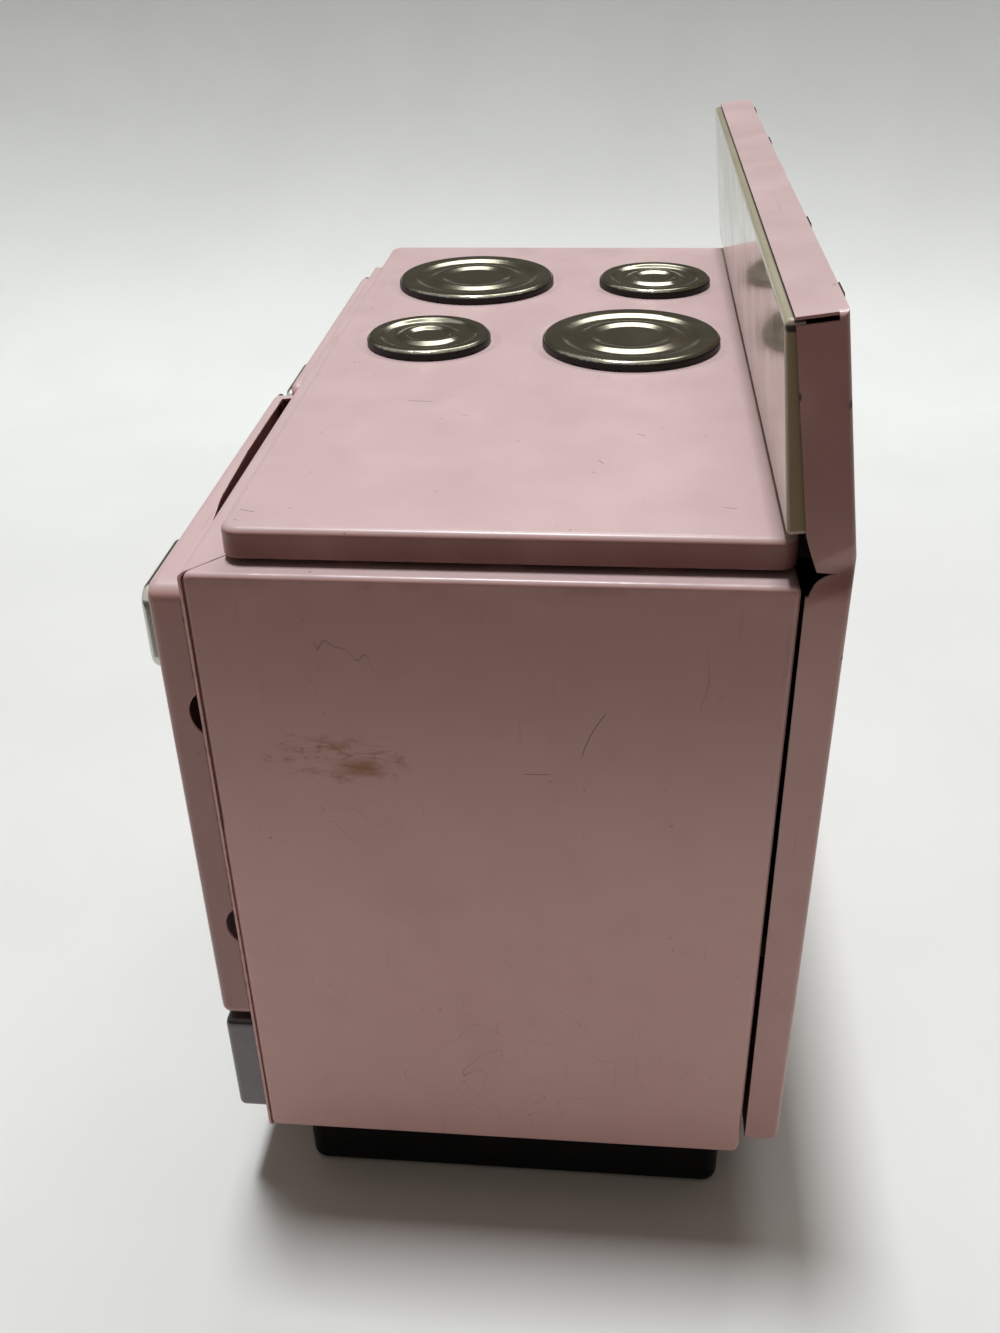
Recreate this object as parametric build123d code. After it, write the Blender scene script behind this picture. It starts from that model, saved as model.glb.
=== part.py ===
from build123d import *
from math import ceil, cos, radians, sin, sqrt
import os

# Toy oven: a child's folded tinplate kitchen range with four stamped burners on its left
# half, a plain work surface on its right half, two side-hung doors over two compartments
# and a backsplash that leans forward over the cooktop.
# Millimetres. X runs to the right as one faces the doors, Y to the back, Z up.
# The origin is on the floor, at the middle of the plinth's width and of the sides' depth.

# ---------------------------------------------------------------- driving dimensions
sheet = 0.7               # tinplate
fold = 1.6                # outside radius of a folded edge
fold_corner = 1.8         # corner of a folded tray
slip = 0.3                # gap round a sheet that slides inside or beside another
touch = 0.1               # gap under a bent tab's toe
past = 1.0                # a cut runs at least this far past what it cuts

body_width = 290.0        # over the two side panels
body_depth = 153.0        # of a side panel, front edge to back edge
body_height = 206.0       # of a side panel
side_lift = 24.0          # lower edge of the side panels above the floor
side_flange = 12.0        # turned-in edges of a side panel
side_corner = 2.4         # corners of a side panel

frame_flange = 16.0       # turned-back top and bottom edges of the front frame
mitre_run = 10.0          # depth of the mitre between the frame's and the sides' top flanges

cooktop_inset = 5.5       # side panel's face to the cooktop's rim
cooktop_front_inset = 9.1   # side panel's front edge to the cooktop's rim
cooktop_back_inset = 0.6  # side panel's back edge to the cooktop's rim
cooktop_gap = 1.8         # shadow gap under the cooktop's rim
cooktop_rim = 8.2         # height of the rim
cooktop_tab_inset = 3.5   # the cooktop's tabs are set back inside its rim
cooktop_corner = 5.0
cooktop_edge = 2.0

large_burner_radius = 30.0
small_burner_radius = 21.2
burner_height = 3.3       # top of a burner above the seat it stands on
large_crest = 0.49        # place of the raised ring, as a share of the burner's radius
small_crest = 0.41
flange_share = 0.80       # inner edge of the flat outer ring, as a share of the radius
step_share = 0.71         # foot of the step inside that ring, likewise
ring_drop = 1.0           # depth of the stamping below the outer ring
crest_drop = 0.15         # raised ring's top below the outer ring
crest_half = 0.03         # half width of its flat top, as a share of the radius
crest_outer_slope = 0.11  # width of the slope outside it, likewise
crest_inner_slope = 0.10  # width of the slope inside it, likewise
ring_bend = 0.1           # radius of the stamped bends, as a share of the burner's radius
rim_drop = 1.1            # rounding of the outer rim
notches_per_mm = 0.8      # notches in the skirt's foot, for each mm of radius
notch_width = 1.3
notch_rise = 0.6
seat_margin = 3.8         # seat pressed into the cooktop round a burner
seat_depth = 0.7
seat_slope = 2.6          # width of the sloping step round a seat
front_burner_margin = 11.8  # cooktop's front rim to the front burners' edges
back_burner_margin = 11.2  # cooktop's back rim to the back burners' edges
left_column_inset = 54.5  # cooktop's left rim to the left burners' centres
inner_column_inset = 11.5   # middle of the range to the inner burners' centres

door_gap = 3.0            # middle of the range to a door's edge
door_edge_inset = 0.4     # side panel's face to a door's edge
door_lift = 49.5          # side panels' lower edge up to the doors' lower edge
door_top_drop = 4.0       # side panels' top edge down to the doors' top edge
right_door_depth = 9.1    # the right door is a deeper tray than the left one
left_door_depth = 5.4
door_corner = 4.5
right_door_edge = 2.5     # rounding of the deeper tray's front edges
left_door_edge = 2.0
door_swing = 105.0        # degrees that each door opens

rod_radius = 0.9
rod_clearance = 0.06      # running fit of the rod in its knuckles
rod_chamfer = 0.2
knuckle_room = 0.3        # between a knuckle and the door's walls
knuckle_height = 9.0
knuckle_end = 34.0        # door's lower edge to the lower knuckle, and the same above
latch_notch_height = 12.5   # half-moon notches in a door's free edge
latch_notch_depth = 2.8
right_top_relief = 5.0    # cut back of the deeper tray's bowed top flange
bow_start = 2.0           # start of that bow, in hinge insets from the door's left edge
bow_shoulder = (0.6, 1.5)   # from there on, in hinge insets, and behind the hinge's axis
bow_lows = (0.37, 0.62)   # its deepest places, as shares of the door's width
bow_second = 0.76         # depth at the second of them, as a share of the first
bow_end = 0.88            # its end, as a share of the door's width

opening_side_margin = 14.0  # side panel's face to an opening in the front frame
mullion_width = 36.0      # between the two openings
opening_end_margin = 10.0   # door's lower and upper edges to an opening
opening_corner = 3.0
opening_lip = 5.0

handle_width = 34.5
handle_height = 24.5
handle_depth = 3.2
handle_corner = 5.0
handle_side_inset = 3.6   # door's right edge to the handle
handle_top_inset = 3.6    # door's top edge to the handle
handle_border = 5.0       # rim round the handle's pressed finger dish
handle_dish = 1.5
handle_dish_edge = 1.1

kick_lift = 7.8           # side panels' lower edge up to the kick panel's
kick_gap = 2.0            # between the kick panel and the doors
kick_depth = 9.2
kick_edge = 2.0
kick_corner = 2.6

plinth_side_inset = 6.0
plinth_front_inset = 10.4
plinth_back_inset = 5.2
plinth_corner = 5.0
plinth_edge = 3.0

back_gap = 1.5            # side panels' back edge to the back panel's flanges
back_flange = 10.3
back_lift = 7.0           # side panels' lower edge up to the back panel's
back_bend_rise = 8.0      # side panels' top edge up to where the back panel turns forward
back_bend_radius = 12.0
back_foot_radius = 3.0
lean = 8.2                # degrees that the backsplash leans forward
splash_length = 59.4      # from the bend to the top, along the lean
splash_depth = 11.5
knee_drop = 4.1           # the flanges turn forward this far below the back's bend
notch_depth = 6.2         # V notch in each flange there
# the notch's sides, from the lower flange's front edge back and from the bend up
notch_lip = (1.3, 0.3)
notch_upper_side = (-0.4, 4.6)
notch_top = (-2.8, 12.0)
notch_lower_side = (1.6, -2.6)
notch_foot = (0.0, -6.5)
seam_width = 1.3          # open seam under the backsplash's top flange
inner_width = 210.0       # rear rail, and the oven floor's tongue to the back panel

face_front = 15.9         # control face's lower edge in front of the backsplash's back
face_tilt = 2.3           # degrees that its upper edge is tucked back under the top flange
face_bottom = 7.0         # control face's lower edge above the bend, along the lean
face_depth = 4.6
face_edge = 1.4
face_corner = 1.5

floor_flange = 8.0        # oven floor's turned-down edges, which clear the kick panel
partition_flange = 8.0
rail_drop = 12.0          # rear cross rail, below the side panels' top edge
shelf_rise = 70.2         # oven floor up to the shelf
shelf_flange = 6.0
shelf_clear = 3.0         # shelf's front and back edges to what stands before and behind it
shelf_slots = 7
shelf_slot_width = 7.0
shelf_border = 16.0

tab_width = 9.0
tab_toe = 5.0
small_tab = 5.0
side_tab_pitch = 38.0     # between the cooktop's tabs along a side
end_tabs = (38.0, 96.0)   # its tabs along the front and back, from the middle
plinth_tab_inset = 30.0   # plinth's front and back to its tabs
kick_tabs_x = (40.0, 112.0)   # the kick panel's tabs, from the middle
back_tabs_x = (35.0, 90.0)    # tabs through the back panel, from the middle
face_tabs_x = (60.0, 125.0)   # the control face's tabs, from the middle
shelf_tabs_y = (-42.0, 42.0)  # the shelf's tabs, from the middle of the sides' depth

# ---------------------------------------------------------------- derived places
half_width = body_width / 2
side_top = side_lift + body_height
side_middle = side_lift + body_height / 2
sides_front = -body_depth / 2
sides_back = body_depth / 2
frame_front = sides_front - sheet
inner_x = half_width - sheet
flange_x = half_width - side_flange

cooktop_bottom = side_top + cooktop_gap
cooktop_top = cooktop_bottom + cooktop_rim
cooktop_front = sides_front + cooktop_front_inset
cooktop_back = sides_back - cooktop_back_inset
cooktop_x = half_width - cooktop_inset
cooktop_middle = (cooktop_front + cooktop_back) / 2
seat_z = cooktop_top - seat_depth

back_inner = sides_back + back_gap + back_flange - sheet
back_outer = back_inner + sheet
back_bottom = side_lift + back_lift
back_bend_z = side_top + back_bend_rise

door_bottom = side_lift + door_lift
door_top = side_top - door_top_drop
door_height = door_top - door_bottom
door_width = half_width - door_edge_inset - door_gap
door_middle = (door_top + door_bottom) / 2
door_back = frame_front - slip

opening_width = half_width - opening_side_margin - mullion_width / 2
opening_height = door_height - 2 * opening_end_margin
opening_x = (half_width - opening_side_margin + mullion_width / 2) / 2

kick_bottom = side_lift + kick_lift
kick_top = door_bottom - kick_gap
knuckle_radius = rod_radius + rod_clearance + sheet
hinge_inset = sheet + knuckle_radius + knuckle_room   # door's outer faces to the rod's axis
floor_z = kick_top + slip + floor_flange
shelf_z = floor_z + shelf_rise
inside_x = inner_x - slip

# splash: x along the range, y up the leaning backsplash, z forward from its back
splash = Plane(
    origin=(0, back_outer, back_bend_z),
    x_dir=(1, 0, 0),
    z_dir=(0, -cos(radians(lean)), -sin(radians(lean))),
)
# planes whose z leads out of the object: to the right, and to the front
side_plane = Plane(origin=(flange_x, 0, side_middle), x_dir=(0, 1, 0), z_dir=(1, 0, 0))


def front_plane(x, y, z):
    """A plane facing the front, with its x to the right and its y up."""
    return Plane(origin=(x, y, z), x_dir=(1, 0, 0), z_dir=(0, -1, 0))


# ---------------------------------------------------------------- sheet-metal helpers
def tray(outline, depth, edge):
    """A folded tray of tinplate, open at z = 0 and closed at z = depth."""
    outer = extrude(outline, amount=depth)
    outer = fillet(outer.faces().sort_by(Axis.Z)[-1].edges(), edge)
    inner = extrude(offset(outline, amount=-sheet), amount=depth - sheet)
    inner = fillet(inner.faces().sort_by(Axis.Z)[-1].edges(), edge - sheet)
    return outer - inner


def tab(width, drop, toe):
    """A bent tab: a stem down from z = 0 and a toe along +y at its foot."""
    stem = Box(width, sheet, drop, align=(Align.CENTER, Align.MIN, Align.MAX))
    foot = Pos(0, 0, -drop) * Box(width, toe, sheet, align=(Align.CENTER, Align.MIN, Align.MIN))
    return stem + foot


def stepped_tab(width, drop, toe, step):
    """A tab whose stem stands `step` behind the sheet that it leaves."""
    ledge = Box(width, step + sheet / 2, sheet, align=(Align.CENTER, Align.MIN, Align.MAX))
    return tab(width, drop, toe) + ledge


def tab_place(root, stem, toe):
    """The place of a tab that leads from `root` along `stem` and is bent towards `toe`."""
    back = -Vector(*stem)
    return Plane(origin=root, x_dir=Vector(*toe).cross(back), z_dir=back).location


def tab_slot(width):
    """The slot that a tab's stem passes, cut 4 sheets each way of z = 0."""
    return Pos(0, sheet / 2, 0) * Box(width + 2 * slip, sheet + 2 * slip, 8 * sheet)


def slab(x0, x1, y0, y1, z0, z1):
    """A block between two corners, for cutting and for plain strips."""
    return Pos((x0 + x1) / 2, (y0 + y1) / 2, (z0 + z1) / 2) * Box(x1 - x0, y1 - y0, z1 - z0)


def both_sides(x_values):
    return [side * x for x in x_values for side in (-1, 1)]


# ---------------------------------------------------------------- tabs of the cooktop and plinth
# the cooktop's tabs step in from its rim, pass the flanges below and bend outwards under them
cooktop_tab_drop = sheet + cooktop_gap + sheet + touch + sheet
side_tab_y = [cooktop_middle + place * side_tab_pitch for place in (-1, 0, 1)]
end_tab_x = both_sides(end_tabs)
tab_in = cooktop_tab_inset + sheet
cooktop_tab_z = cooktop_bottom + sheet
cooktop_tabs = [
    tab_place((side * (cooktop_x - tab_in), y, cooktop_tab_z), (0, 0, -1), (side, 0, 0))
    for y in side_tab_y for side in (-1, 1)
] + [
    tab_place((x, y - toe * tab_in, cooktop_tab_z), (0, 0, -1), (0, toe, 0))
    for x in end_tab_x for y, toe in ((cooktop_front, -1), (cooktop_back, 1))
]

plinth_x = half_width - plinth_side_inset
plinth_front = sides_front + plinth_front_inset
plinth_back = sides_back - plinth_back_inset
plinth_tab_drop = sheet + sheet + touch + sheet
plinth_tab_y = (plinth_front + plinth_tab_inset, plinth_back - plinth_tab_inset)
plinth_tabs = [
    tab_place((side * plinth_x, y, side_lift - sheet), (0, 0, 1), (-side, 0, 0))
    for y in plinth_tab_y for side in (-1, 1)
]


def slots(places, lift):
    """Slots for a row of tabs, in the sheet that lies `lift` from the tabs' roots."""
    return [place * Pos(0, 0, -lift) * tab_slot(tab_width) for place in places]


cooktop_slots = slots(cooktop_tabs, sheet + cooktop_gap + sheet / 2)
plinth_slots = slots(plinth_tabs, sheet + sheet / 2)


# ---------------------------------------------------------------- casing
def flange_outline(gap):
    """Plan of the front frame's flange: mitred corners, then straight between the sides."""
    corner_x = half_width + gap
    inner = flange_x + gap
    back = sides_front + frame_flange + gap
    mitre_y = sides_front + mitre_run + gap
    right = [(corner_x, sides_front), (inner, mitre_y), (inner, back)]
    left = [(-x, y) for x, y in reversed(right)]
    return right + left


def side_panel():
    panel = side_plane * tray(
        RectangleRounded(body_depth, body_height, side_corner), side_flange, fold
    )
    mitre = Polygon(*flange_outline(slip), align=None)
    reach = fold + slip
    for z in (side_lift - sheet, side_top - reach):
        panel -= Pos(0, 0, z) * extrude(mitre, amount=reach + sheet)
    return panel - cooktop_slots - plinth_slots


def knuckle_heights():
    return (door_bottom + knuckle_end + knuckle_height / 2,
            door_top - knuckle_end - knuckle_height / 2)


def hinge_axis(door):
    """Plan position of a door's hinge rod."""
    return door["left"] + hinge_inset, door_back - door["depth"] + hinge_inset


def knuckle(door, z):
    """A strip lanced out of the front frame and curled round the hinge rod."""
    x, y = hinge_axis(door)
    bore = rod_radius + rod_clearance
    reach = sides_front - y
    strip = Pos(bore + sheet / 2, reach / 2) * Rectangle(sheet, reach)
    curl = Circle(knuckle_radius) + strip - Circle(bore)
    return Pos(x, y, z - knuckle_height / 2) * extrude(curl, amount=knuckle_height)


def lance_window(door, z):
    """The window that a knuckle's strip leaves in the front frame."""
    x, _ = hinge_axis(door)
    start = x + knuckle_radius
    tall = knuckle_height / 2 + slip
    return slab(start, start + knuckle_height - sheet, frame_front - sheet,
                sides_front + sheet / 4, z - tall, z + tall)


doors = {
    "right_door": {"left": door_gap, "depth": right_door_depth, "edge": right_door_edge,
                   "relief": right_top_relief},
    "left_door": {"left": -door_gap - door_width, "depth": left_door_depth,
                  "edge": left_door_edge, "relief": 0.0},
}


def opening_outline():
    return RectangleRounded(opening_width, opening_height, opening_corner)


def front_frame():
    depth = frame_flange + sheet
    face = front_plane(0, frame_front + depth, side_middle) * tray(
        RectangleRounded(body_width + 4 * fold, body_height, fold), depth, fold
    )
    plan = flange_outline(0.0)
    nose = [(-half_width, frame_front - sheet), (half_width, frame_front - sheet)]
    keep = extrude(Polygon(*(plan + nose), align=None), amount=side_top + sheet)
    frame = face & keep
    lip_outline = offset(opening_outline(), amount=sheet)
    for side in (-1, 1):
        at = front_plane(side * opening_x, frame_front, door_middle)
        frame -= at * extrude(lip_outline, amount=2 * sheet, both=True)
        frame += at * extrude(lip_outline - opening_outline(), amount=-opening_lip)
    for door in doors.values():
        for z in knuckle_heights():
            frame -= lance_window(door, z)
            frame += knuckle(door, z)
    return frame - cooktop_slots - kick_slots


def back_panel():
    lean_up = (-sin(radians(lean)), cos(radians(lean)))
    forward = (-cos(radians(lean)), -sin(radians(lean)))

    def leaned(up, out):
        """A point in the YZ plane, `up` the backsplash and `out` in front of its back."""
        return (back_outer + up * lean_up[0] + out * forward[0],
                back_bend_z + up * lean_up[1] + out * forward[1])

    front_y = back_outer - back_flange
    knee_up = -(knee_drop + splash_depth * forward[1]) / lean_up[1]
    knee = leaned(knee_up, splash_depth)

    def body(wall, proud):
        """The bent box, `wall` inside the outer faces and `proud` past the open front."""
        outline = Polygon(
            (back_outer - wall, back_bottom + wall),
            leaned(-wall * sin(radians(lean / 2)), wall),
            leaned(splash_length - wall, wall),
            leaned(splash_length - wall, splash_depth + proud),
            (knee[0] - proud, knee[1]),
            (front_y - proud, back_bottom + wall),
            align=None,
        )
        corners = outline.vertices().sort_by(Axis.X, reverse=True)
        rear = sorted(corners[:3], key=lambda v: v.Y)
        outline = fillet(rear[0], back_foot_radius - wall)
        rear = sorted(outline.vertices().filter_by(
            lambda v: abs(v.Y - leaned(-wall * sin(radians(lean / 2)), wall)[1]) < 0.01
            and v.X > front_y + 1), key=lambda v: v.X)
        outline = fillet(rear[-1], back_bend_radius - wall)
        solid = extrude(Plane.YZ * outline, amount=half_width - wall, both=True)
        ends = solid.faces().sort_by(Axis.X)
        rims = [
            edge
            for end in (ends[0], ends[-1])
            for edge in end.edges()
            if not open_front(edge.center())
        ]
        return fillet(rims, fold - wall)

    def open_front(point):
        """True for the edges along the open front."""
        low = point.Z <= knee[1] and point.Y < front_y + sheet / 2
        up_front = leaned(0, splash_depth - sheet)
        ahead = (point.Y - up_front[0]) * forward[0] + (point.Z - up_front[1]) * forward[1]
        return low or (point.Z > knee[1] - sheet and ahead > 0)

    panel = body(0.0, 0.0) - body(sheet, splash_depth / 2)
    top, upper, lip, lower, foot = [
        (front_y + back, knee[1] + up)
        for back, up in (notch_top, notch_upper_side, notch_lip, notch_lower_side, notch_foot)
    ]
    tip = (front_y + notch_depth, knee[1])
    ahead = front_y - splash_depth
    mouth = Polyline(top, (ahead, top[1]), (ahead, foot[1]), foot)
    notch = make_face(
        mouth + ThreePointArc(foot, lower, tip) + Line(tip, lip) + ThreePointArc(lip, upper, top)
    )
    panel -= extrude(Plane.YZ * notch, amount=body_width, both=True)
    # each end of the top flange is cut square, with an open seam to the end flange below it
    under = splash_length - sheet
    for side in (-1, 1):
        edge, inboard = side * half_width, side * (half_width - fold)
        clear, lap = edge + side * sheet, edge - side * 2 * fold
        seam = slab(*sorted((inboard, clear)), under - seam_width, under + 2 * sheet,
                    fold + sheet, splash_depth + sheet)
        strip = slab(*sorted((lap, edge)), under, splash_length, fold + sheet, splash_depth)
        panel = panel - splash * seam + splash * strip
    return panel - back_tab_slots - face_slots


def kick_panel():
    height = kick_top - kick_bottom
    width = body_width - 2 * door_edge_inset
    outline = RectangleRounded(width, height, kick_corner)
    panel = front_plane(0, frame_front, kick_bottom + height / 2) * tray(
        outline, kick_depth, kick_edge
    )
    return panel + [place * tab(tab_width, kick_tab_drop, tab_toe) for place in kick_tabs]


# the kick panel's tabs pass the front frame and bend up or down behind it
kick_tab_drop = sheet + sheet + touch + sheet
kick_tabs = [
    tab_place((x, frame_front - sheet, z), (0, 1, 0), (0, 0, toe))
    for x in both_sides(kick_tabs_x) for z, toe in ((kick_top, -1), (kick_bottom, 1))
]
kick_slots = slots(kick_tabs, sheet + sheet / 2)


def plinth():
    outline = RectangleRounded(2 * plinth_x, plinth_back - plinth_front, plinth_corner)
    base = Pos(0, (plinth_front + plinth_back) / 2, side_lift) * Rot(180, 0, 0) * tray(
        outline, side_lift, plinth_edge
    )
    return base + [place * tab(tab_width, plinth_tab_drop, tab_toe) for place in plinth_tabs]


# ---------------------------------------------------------------- cooktop and burners
left_column_x = left_column_inset - cooktop_x
inner_column_x = -inner_column_inset
front_burner_y = cooktop_front + front_burner_margin
back_burner_y = cooktop_back - back_burner_margin
burners = {
    "front_left_burner": (left_column_x, front_burner_y + large_burner_radius,
                          large_burner_radius, large_crest),
    "back_left_burner": (left_column_x, back_burner_y - small_burner_radius,
                         small_burner_radius, small_crest),
    "front_inner_burner": (inner_column_x, front_burner_y + small_burner_radius,
                           small_burner_radius, small_crest),
    "back_inner_burner": (inner_column_x, back_burner_y - large_burner_radius,
                          large_burner_radius, large_crest),
}


def burner_tabs(radius):
    """Two tabs, left and right inside the burner's skirt."""
    root = radius - sheet
    return [Location((root, 0, sheet), (0, 0, 90)), Location((-root, 0, sheet), (0, 0, -90))]


def burner_seat(radius):
    """A shallow round seat pressed down into the cooktop, z = 0 at the cooktop's top."""
    rim = radius + seat_margin
    foot = rim - seat_slope
    under = foot + sheet / 2
    profile = Polygon(
        (0, -seat_depth), (foot, -seat_depth), (rim, 0), (rim, -sheet),
        (under, -seat_depth - sheet), (0, -seat_depth - sheet), align=None,
    )
    return revolve(Plane.XZ * profile, Axis.Z)


def cooktop():
    width = 2 * cooktop_x
    depth = cooktop_back - cooktop_front
    top = Pos(0, cooktop_middle, cooktop_bottom) * tray(
        RectangleRounded(width, depth, cooktop_corner), cooktop_rim, cooktop_edge
    )
    for x, y, radius, _ in burners.values():
        at = Pos(x, y, cooktop_top)
        top -= at * Cylinder(radius + seat_margin, 4 * sheet)
        top += at * burner_seat(radius)
        for place in burner_tabs(radius):
            top -= Pos(x, y, seat_z) * place * Pos(0, 0, -sheet) * tab_slot(small_tab)
    lug = stepped_tab(tab_width, cooktop_tab_drop, tab_in, tab_in - sheet / 2)
    return top + [place * lug for place in cooktop_tabs]


def burner_form(radius, crest, wall):
    """Half section of a burner, filled down to its seat, `wall` inside its outer face."""
    top = burner_height - wall
    low = top - ring_drop
    rim = radius - wall
    outer, inner = crest + crest_half, crest - crest_half
    return Polygon(
        (0, -wall), (rim, -wall), (rim, top - rim_drop), (rim - rim_drop, top),
        (flange_share * radius, top), (step_share * radius, low),
        ((outer + crest_outer_slope) * radius, low), (outer * radius, top - crest_drop),
        (inner * radius, top - crest_drop), ((inner - crest_inner_slope) * radius, low),
        (0, low), align=None,
    )


def burner(radius, crest):
    """A plated disc stamped with rings, with a notched skirt. z = 0 at its seat."""
    outline = burner_form(radius, crest, 0.0)
    stamped = [v for v in outline.vertices() if 0 < v.X < radius - 2 * rim_drop and v.Y > 0]
    outline = fillet(stamped, ring_bend * radius)
    rims = [v for v in outline.vertices() if v.X > radius - rim_drop - touch and v.Y > 0]
    outline = fillet(rims, rim_drop) - burner_form(radius, crest, sheet)
    disc = revolve(Plane.XZ * outline, Axis.Z)
    notches = 2 * ceil(radius * notches_per_mm / 2)
    for index in range(notches):
        at = Rot(0, 0, 360 * (index + 0.5) / notches) * Pos(radius, 0, 0)
        disc -= at * Box(4 * sheet, notch_width, 2 * notch_rise)
    drop = sheet + sheet + touch + sheet
    return disc + [place * tab(small_tab, drop, tab_toe) for place in burner_tabs(radius)]


# ---------------------------------------------------------------- backsplash's control face
tilt_rise, tilt_run = cos(radians(face_tilt)), sin(radians(face_tilt))
face_back = face_front - face_depth
# its upper front edge meets the top flange from below
face_height = (splash_length - sheet - face_bottom - face_depth * tilt_run) / tilt_rise
face_top_back = face_back - face_height * tilt_run


def face_tabs(y, back, turn):
    """A row of tabs that leave a long edge of the control face, `back` off the backsplash."""
    return [
        splash.location * Pos(x, y, back + sheet) * Rot(0, 0, turn)
        for x in both_sides(face_tabs_x)
    ]


# they run back through the backsplash and bend towards each other behind it
face_rows = [
    (face_tabs(face_bottom, face_back, 0), face_back),
    (face_tabs(face_bottom + face_height * tilt_rise, face_top_back, 180), face_top_back),
]
face_slots = [cut for row, back in face_rows for cut in slots(row, back + sheet / 2)]


def control_face():
    outline = RectangleRounded(2 * inside_x, face_height, face_corner)
    foot = splash.location * Pos(0, face_bottom, face_back) * Rot(-face_tilt, 0, 0)
    panel = foot * Pos(0, face_height / 2, 0) * tray(outline, face_depth, face_edge)
    for row, back in face_rows:
        lug = tab(tab_width, back + sheet + touch + sheet, tab_toe)
        panel += [place * lug for place in row]
    return panel


# ---------------------------------------------------------------- inside
def floor_pan():
    """The oven floor, with turned-down edges and a tongue back to the back panel."""
    front = sides_front + sheet
    side_stop = sides_back - sheet - slip
    tongue_x = inner_width / 2
    plan = Polygon(
        (-inside_x, front), (inside_x, front), (inside_x, side_stop),
        (tongue_x, side_stop), (tongue_x, back_inner), (-tongue_x, back_inner),
        (-tongue_x, side_stop), (-inside_x, side_stop), align=None,
    )
    corners = [v for v in plan.vertices() if abs(v.X) > tongue_x + sheet]
    pan = Pos(0, 0, floor_z - floor_flange) * tray(fillet(corners, fold_corner), floor_flange, fold)
    return pan + [place * tab(tab_width, back_tab_drop, tab_toe) for place in floor_tabs]


# tabs through the back panel: toes turned down outside it
back_tab_drop = sheet + sheet + touch + sheet


def back_tabs(z):
    """Places of tabs that leave a flange's lower edge at height z."""
    return [
        tab_place((x, back_inner - sheet, z), (0, 1, 0), (0, 0, -1))
        for x in both_sides(back_tabs_x)
    ]


floor_tabs = back_tabs(floor_z - floor_flange + 2 * sheet)
rail_tabs = back_tabs(side_top - rail_drop + 2 * sheet)
back_tab_slots = slots(floor_tabs + rail_tabs, sheet + sheet / 2)


def rear_rail():
    """An upside-down channel behind the side panels, with a tongue under the cooktop."""
    front = sides_back + touch
    plan = RectangleRounded(inner_width, back_inner - front, fold_corner)
    channel = Pos(0, (front + back_inner) / 2, side_top - rail_drop) * tray(
        plan, rail_drop, fold
    )
    tongue_front = cooktop_back - tab_in - slip - 2 * sheet
    tongue = slab(-inner_width / 2, inner_width / 2, tongue_front, front + fold,
                  side_top - sheet, side_top)
    rail = channel + tongue - cooktop_slots
    return rail + [place * tab(tab_width, back_tab_drop, tab_toe) for place in rail_tabs]


partition_top = side_top - rail_drop - slip


def partition():
    """The wall between the compartments: a tray open to the right, in the middle."""
    height = partition_top - floor_z
    front = sides_front
    depth = back_inner - front
    plane = Plane(
        origin=(-sheet / 2 + partition_flange, front + depth / 2, floor_z + height / 2),
        x_dir=(0, -1, 0), z_dir=(-1, 0, 0),
    )
    wall = plane * tray(RectangleRounded(depth, height, fold_corner), partition_flange, fold)
    return wall - shelf_slot_cuts


# the shelf's tabs pass the partition and the left side panel and turn down behind them
shelf_tabs = [
    tab_place((x, y, shelf_z), (away, 0, 0), (0, 0, -1))
    for y in shelf_tabs_y for x, away in ((-sheet / 2 - touch - sheet, 1), (sheet - inside_x, -1))
]
shelf_slot_cuts = slots(shelf_tabs, sheet + touch + sheet / 2)


def oven_shelf():
    """The slotted shelf in the left compartment, with turned-down edges."""
    right = -sheet / 2 - touch
    width = inside_x + right
    front = frame_front + opening_lip + shelf_clear
    back = sides_back - sheet - shelf_clear
    middle_x = (right - inside_x) / 2
    at = Pos(middle_x, (front + back) / 2, shelf_z - shelf_flange)
    shelf = at * tray(Rectangle(width, back - front), shelf_flange, fold)
    pitch = (width - 2 * shelf_border) / shelf_slots
    slot_length = back - front - 2 * shelf_border
    slot = Rot(0, 0, 90) * SlotOverall(slot_length, shelf_slot_width)
    for index in range(shelf_slots):
        x = -width / 2 + shelf_border + (index + 0.5) * pitch
        shelf -= at * Pos(x, 0, 0) * extrude(slot, amount=shelf_flange + sheet)
    return shelf + [place * tab(tab_width, shelf_tab_drop, tab_toe) for place in shelf_tabs]


shelf_tab_drop = sheet + slip + sheet + touch + sheet


# ---------------------------------------------------------------- doors
def handle_centre(door):
    x = door["left"] + door_width - handle_side_inset - handle_width / 2
    return x, door_top - handle_top_inset - handle_height / 2


def handle_tabs(door):
    """Two tabs at the handle's long edges, through the door's face."""
    x, z = handle_centre(door)
    face = door_back - door["depth"]
    y = face - sheet
    upper = front_plane(x, y, z + handle_height / 2).location * Rot(0, 0, 180)
    lower = front_plane(x, y, z - handle_height / 2).location
    return [upper, lower]


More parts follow.
